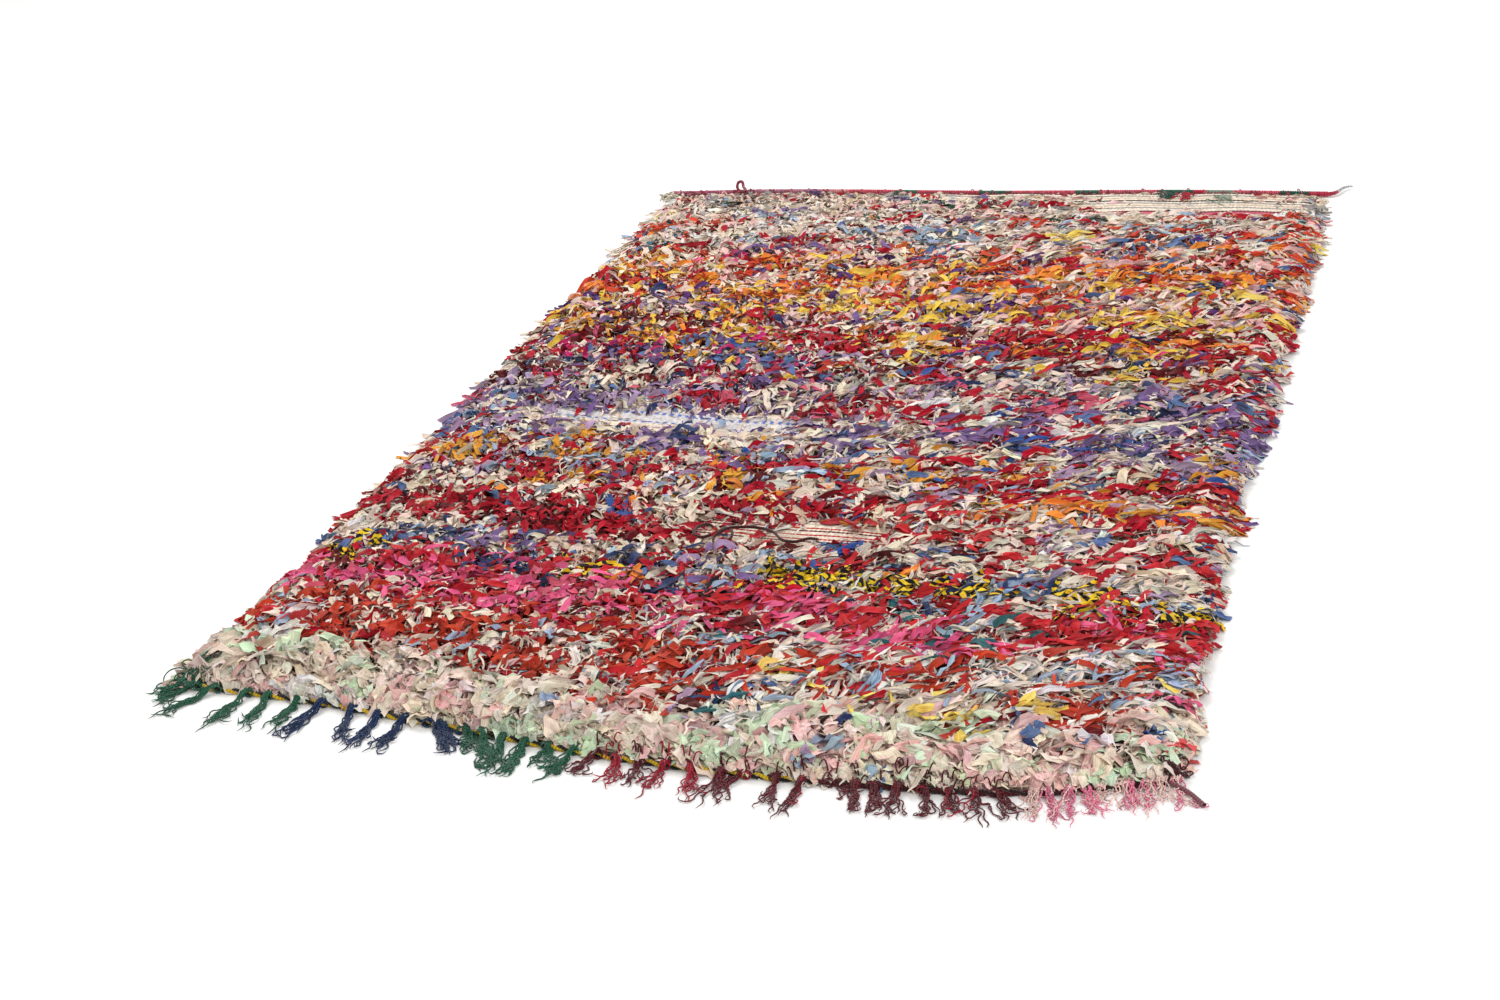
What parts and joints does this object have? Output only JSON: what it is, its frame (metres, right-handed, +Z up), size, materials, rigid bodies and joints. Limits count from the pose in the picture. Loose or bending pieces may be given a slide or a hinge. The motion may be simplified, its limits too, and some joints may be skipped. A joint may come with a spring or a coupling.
{
  "type": "boucherouite rug",
  "caption": "Flat hand-knotted rag rug with a thick lumpy pile of multicoloured cloth strips, a bound far end and a yarn fringe along the near end.",
  "frame": {"origin": "middle of the rug's footprint, fringe and tails included, on the floor", "axes": "+Z up out of the pile; +Y along the rug, from the fringed near end to the bound far end; +X across it, to the right as seen from the fringed end"},
  "size_m": [1.5283, 2.3034, 0.0472],
  "materials": {
    "rag_pile": "knotted strips of used cotton and jersey cloth in many colours, matt, crumpled",
    "cord_yellow": "two-ply twined wool, yellow and near black, matt",
    "cord_dark": "two-ply twined wool, dark burgundy and brown, matt",
    "heading_cord": "bound wool cord, crimson and rose with green lengths, matt",
    "yarn_green": "plied wool yarn, deep green, slightly fuzzy",
    "yarn_navy": "plied wool yarn, navy blue, slightly fuzzy",
    "yarn_burgundy": "plied wool yarn, burgundy with some crimson, slightly fuzzy",
    "yarn_pink": "plied wool yarn, rose pink with cream, slightly fuzzy"
  },
  "bodies": {
    "root": {"pile": "rag_pile", "twined_cord_yellow": "cord_yellow", "twined_cord_dark": "cord_dark", "heading": "heading_cord", "fringe_green_left": "yarn_green", "fringe_navy": "yarn_navy", "fringe_green_middle": "yarn_green", "fringe_burgundy": "yarn_burgundy", "fringe_pink": "yarn_pink"}
  },
  "joints": []
}
